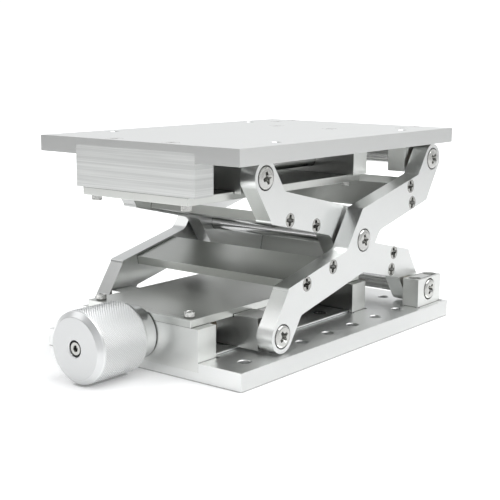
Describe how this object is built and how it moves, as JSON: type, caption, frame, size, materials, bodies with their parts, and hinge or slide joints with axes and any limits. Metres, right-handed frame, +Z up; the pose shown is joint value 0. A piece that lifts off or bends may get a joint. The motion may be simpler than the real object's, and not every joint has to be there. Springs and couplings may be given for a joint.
{
  "type": "lab jack",
  "caption": "Screw-driven scissor lab jack with a drilled base plate, a flat platform, crossed Z-shaped arms and a knurled knob at one end.",
  "frame": {"origin": "centre of the base plate's underside, on the table", "axes": "+Z up; Y along the long side of the plates with the knob at the -Y end; +X to the right seen from the knob"},
  "size_m": [0.14, 0.2545, 0.1193],
  "materials": {
    "anodised_plate": "clear anodised, fine satin",
    "anodised_cover": "clear anodised, satin, slightly darker",
    "anodised_block": "clear anodised, faint saw and mill lines",
    "anodised_arm": "clear anodised, satin, thin bright chamfers",
    "anodised_cross_plate": "clear anodised, satin",
    "knob_aluminium": "clear anodised, fine diamond knurl, turned face",
    "ground_steel": "ground and polished",
    "nickel_screw": "nickel plated",
    "steel_screw": "plain stainless, slightly warm",
    "bronze_bush": "sintered bronze"
  },
  "bodies": {
    "base": {"base_plate": "anodised_plate", "lower_guide_plate": "anodised_plate", "lower_front_block": "anodised_block", "lower_rear_block": "anodised_block", "lower_guide_rods": "ground_steel", "front_screw_bush": "bronze_bush", "rear_screw_bush": "bronze_bush", "lower_cover_plate": "anodised_cover", "lower_cover_screws": "steel_screw", "base_bracket_right": "anodised_block", "base_bracket_left": "anodised_block", "base_bracket_bushes": "bronze_bush", "base_bracket_screws": "steel_screw", "lower_block_screws": "steel_screw", "lower_guide_screws": "steel_screw"},
    "lead": {"lead_screw": "ground_steel", "knob": "knob_aluminium", "knob_screw": "steel_screw"},
    "lower_slide": {"lower_slide_block": "anodised_block", "lead_nut": "bronze_bush", "lead_nut_screws": "steel_screw", "lower_rod_bushes": "bronze_bush", "lower_slide_pivots": "nickel_screw"},
    "outer_arms": {"outer_arm_right": "anodised_arm", "outer_arm_left": "anodised_arm", "outer_front_cross_plate": "anodised_cross_plate", "outer_rear_cross_plate": "anodised_cross_plate", "outer_cross_plate_screws": "steel_screw", "outer_arm_bushes": "bronze_bush"},
    "inner_arms": {"inner_arm_right": "anodised_arm", "inner_arm_left": "anodised_arm", "inner_front_cross_plate": "anodised_cross_plate", "inner_rear_cross_plate": "anodised_cross_plate", "inner_cross_plate_screws": "steel_screw", "inner_arm_bushes": "bronze_bush", "centre_pivots": "nickel_screw", "base_pivots": "nickel_screw", "centre_shaft": "ground_steel", "base_shaft": "ground_steel"},
    "upper_slide": {"upper_slide_block": "anodised_block", "upper_rod_bushes": "bronze_bush", "upper_slide_pivots": "nickel_screw"},
    "platform": {"platform_plate": "anodised_plate", "upper_guide_plate": "anodised_plate", "upper_front_block": "anodised_block", "upper_rear_block": "anodised_block", "upper_guide_rods": "ground_steel", "upper_cover_plate": "anodised_cover", "upper_cover_screws": "steel_screw", "platform_bracket_right": "anodised_block", "platform_bracket_left": "anodised_block", "platform_shaft": "ground_steel", "platform_pivots": "nickel_screw", "platform_bracket_screws": "steel_screw", "upper_block_screws": "steel_screw", "upper_guide_screws": "steel_screw"}
  },
  "joints": [
    {"name": "lift", "type": "hinge", "parent": "base", "child": "inner_arms", "pos_m": [0, 0.0879, 0.0193], "axis": [-1, 0, 0], "range_deg": [-13, 9.1]},
    {"name": "scissor_centre", "type": "hinge", "parent": "inner_arms", "child": "outer_arms", "pos_m": [0, 0.0114, 0.0601], "axis": [1, 0, 0], "range_deg": [-26.2, 18.4]},
    {"name": "platform_level", "type": "hinge", "parent": "outer_arms", "child": "platform", "pos_m": [0, 0.0879, 0.1009], "axis": [-1, 0, 0], "range_deg": [-13.1, 9.2]},
    {"name": "lower_slide_level", "type": "hinge", "parent": "outer_arms", "child": "lower_slide", "pos_m": [0, -0.0651, 0.0193], "axis": [-1, 0, 0], "range_deg": [-13.1, 9.2]},
    {"name": "upper_slide_level", "type": "hinge", "parent": "inner_arms", "child": "upper_slide", "pos_m": [0, -0.0651, 0.1009], "axis": [1, 0, 0], "range_deg": [-13.1, 9.2]},
    {"name": "knob_turn", "type": "hinge", "parent": "base", "child": "lead", "pos_m": [0, -0.105, 0.0193], "axis": [0, -1, 0], "range_deg": [-3110, 2180]}
  ],
  "couplings": [
    {"joint": "scissor_centre", "follows": "lift", "ratio": 2},
    {"joint": "platform_level", "follows": "lift", "ratio": 1},
    {"joint": "lower_slide_level", "follows": "lift", "ratio": 1},
    {"joint": "upper_slide_level", "follows": "lift", "ratio": 1},
    {"joint": "knob_turn", "follows": "lift", "ratio": 238}
  ]
}
